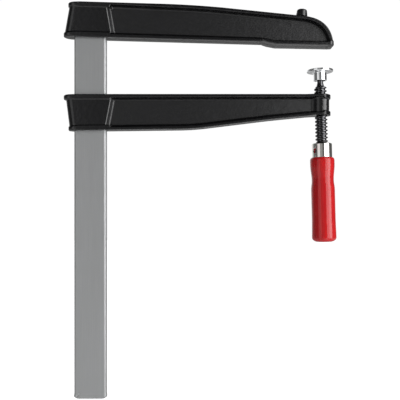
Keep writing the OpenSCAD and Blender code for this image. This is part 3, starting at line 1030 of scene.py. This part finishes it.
def panel(name, azimuth, elevation, distance, width, height, radiance, centre):
    """A soft rectangular light. Azimuth 0 is where the camera stands and 90 is towards +X."""
    data = bpy.data.lights.new(name, "AREA")
    data.shape = "RECTANGLE"
    data.size, data.size_y = width, height
    data.energy = radiance * width * height * math.pi
    light = bpy.data.objects.new(name, data)
    bpy.context.scene.collection.objects.link(light)
    a, e = math.radians(azimuth), math.radians(elevation)
    way = np.array([math.sin(a) * math.cos(e), -math.cos(a) * math.cos(e), math.sin(e)])
    light.location = np.array(centre) + distance * way
    aimed(light, centre)


def room():
    """White surroundings whose brightness, as the object sees it, depends on the direction."""
    world = bpy.data.worlds.new("room")
    bpy.context.scene.world = world
    world.use_nodes = True
    tree = world.node_tree
    tree.nodes.clear()

    def node(kind, **settings):
        added = tree.nodes.new(kind)
        for key, value in settings.items():
            setattr(added, key, value)
        return added

    place = node("ShaderNodeTexCoord")
    parts = node("ShaderNodeSeparateXYZ")
    tree.links.new(place.outputs["Generated"], parts.inputs[0])
    away = node("ShaderNodeMath", operation="MULTIPLY")
    away.inputs[1].default_value = -1
    tree.links.new(parts.outputs["Y"], away.inputs[0])
    azimuth = node("ShaderNodeMath", operation="ARCTAN2")
    tree.links.new(parts.outputs["X"], azimuth.inputs[0])
    tree.links.new(away.outputs[0], azimuth.inputs[1])
    share = node("ShaderNodeMapRange")
    share.inputs["From Min"].default_value = -math.pi
    share.inputs["From Max"].default_value = math.pi
    tree.links.new(azimuth.outputs[0], share.inputs["Value"])
    ramp = node("ShaderNodeValToRGB")
    stops = ramp.color_ramp.elements
    while len(stops) < len(ROOM):
        stops.new(0.5)
    for stop, (degrees, brightness) in zip(stops, ROOM):
        stop.position = (degrees + 180) / 360
        stop.color = (brightness, brightness, brightness, 1)
    tree.links.new(share.outputs[0], ramp.inputs[0])
    lit, seen = node("ShaderNodeBackground"), node("ShaderNodeBackground")
    tree.links.new(ramp.outputs[0], lit.inputs["Color"])
    dim = node("ShaderNodeMapRange")
    for key, value in (("From Min", 0.35), ("From Max", 0.75), ("To Min", 1.0), ("To Max", 0.12)):
        dim.inputs[key].default_value = value
    tree.links.new(parts.outputs["Z"], dim.inputs["Value"])
    tree.links.new(dim.outputs[0], lit.inputs["Strength"])
    seen.inputs["Color"].default_value = (1, 1, 1, 1)
    seen.inputs["Strength"].default_value = 1.02
    ray, pick, out = node("ShaderNodeLightPath"), node("ShaderNodeMixShader"), node("ShaderNodeOutputWorld")
    tree.links.new(ray.outputs["Is Camera Ray"], pick.inputs[0])
    tree.links.new(lit.outputs[0], pick.inputs[1])
    tree.links.new(seen.outputs[0], pick.inputs[2])
    tree.links.new(pick.outputs[0], out.inputs["Surface"])


def floor(height, centre):
    """Plain pale floor, low enough for the handle with the arm at the rail's far end."""
    reach = FLOOR_REACH
    mesh = bpy.data.meshes.new("floor")
    corners = [(-reach, -reach), (reach, -reach), (reach, reach), (-reach, reach)]
    mesh.from_pydata([(centre[0] + x, y, height) for x, y in corners], [], [(0, 1, 2, 3)])
    s = Surface("pale_floor")
    speck = s.noise(60, detail=3)
    s.set(Base_Color=s.blend(speck, (0.90, 0.90, 0.90, 1), (0.94, 0.94, 0.94, 1)), Roughness=0.8)
    seen = s.node("ShaderNodeLightPath").outputs["Is Camera Ray"]
    glow = s.spread(seen, 0, 1, 0.22, 1.0)
    s.set(Specular_IOR_Level=0.1, Emission_Color=(1, 1, 1, 1), Emission_Strength=glow)
    piece = placed("floor", mesh)
    mesh.materials.append(s.material)


# ---- Assembly ----

def dress(piece, material, body, node):
    """Gives a piece its finish and its body, and hides the CAD node that it stands for."""
    piece.data.materials.clear()
    piece.data.materials.append(material)
    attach(piece, body)
    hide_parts(node)


def arm_axes(low, high, fine_to, fine_from):
    """Grid for an arm: fine round its socket and nose, coarser along its web."""
    pad = 2.5
    xs = steps((low[0] - pad, fine_to, 0.8), (fine_to, fine_from, 2.4), (fine_from, high[0] + pad, 0.8))
    side = steps((0, 1.5, 0.5), (1.5, high[1] + pad, 0.7))
    ys = np.concatenate([-side[:0:-1], side])
    zs = steps((low[2] - pad, high[2] + 14 + pad, 0.7))
    return xs, ys, zs


def build():
    lacquer = black_casting()
    fine_to = RAIL_IN + 14
    fixed = skinned("fixed_jaw_casting", fixed_arm_field, arm_axes(FIXED_LOW, FIXED_HIGH, fine_to, -40))
    dress(fixed, lacquer, "rail", "fixed_arm")
    slide = skinned("sliding_jaw_casting", sliding_arm_field, arm_axes(SLIDE_LOW, SLIDE_HIGH, fine_to, -18))
    dress(slide, lacquer, "sliding_arm", "sliding_arm")
    dress(rail_piece(), drawn_steel(), "rail", "rail")
    dress(spindle_piece(), blackened_steel(), "spindle", "spindle")
    plate_zinc = bright_zinc("bright_plate_zinc", (0.93, 0.94, 0.95, 1), (0.88, 0.90, 0.91, 1), 0.07)
    dress(plate_piece(), plate_zinc, "pressure_plate", "pressure_plate")
    dress(ring_piece(), spring_steel(), "retaining_ring", "retaining_ring")
    ferrule_zinc = bright_zinc("bright_ferrule_zinc", (0.90, 0.80, 0.79, 1), (0.80, 0.86, 0.79, 1), 0.08)
    low, high = box_mm("ferrule")
    axes = [steps((a - 1, b + 1, 0.33)) for a, b in zip(low, high)]
    ferrule = skinned("drawn_ferrule", ferrule_field, axes)
    dress(ferrule, ferrule_zinc, "spindle", "ferrule")
    dress(pin_piece(), spring_steel(), "spindle", "cross_pin")
    dress(handle_piece(), red_lacquer(), "spindle", "handle")


def light(centre):
    room()
    for settings in PANELS:
        panel(*settings, centre)
    look = bpy.context.scene.view_settings
    look.view_transform = "Standard"
    look.look = "None"


centre = [(a + b) / 2 for a, b in zip(*cad_bounds)]
camera(centre)
light(centre)
travel = {joint["name"]: joint["range_m"] for joint in frame["joints"] if "range_m" in joint}
arm_down, feed_back = travel["arm_slide"][1], -travel["spindle_feed"][0]
floor(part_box("handle")[0][2] - arm_down - feed_back - FLOOR_CLEAR, centre)
build()
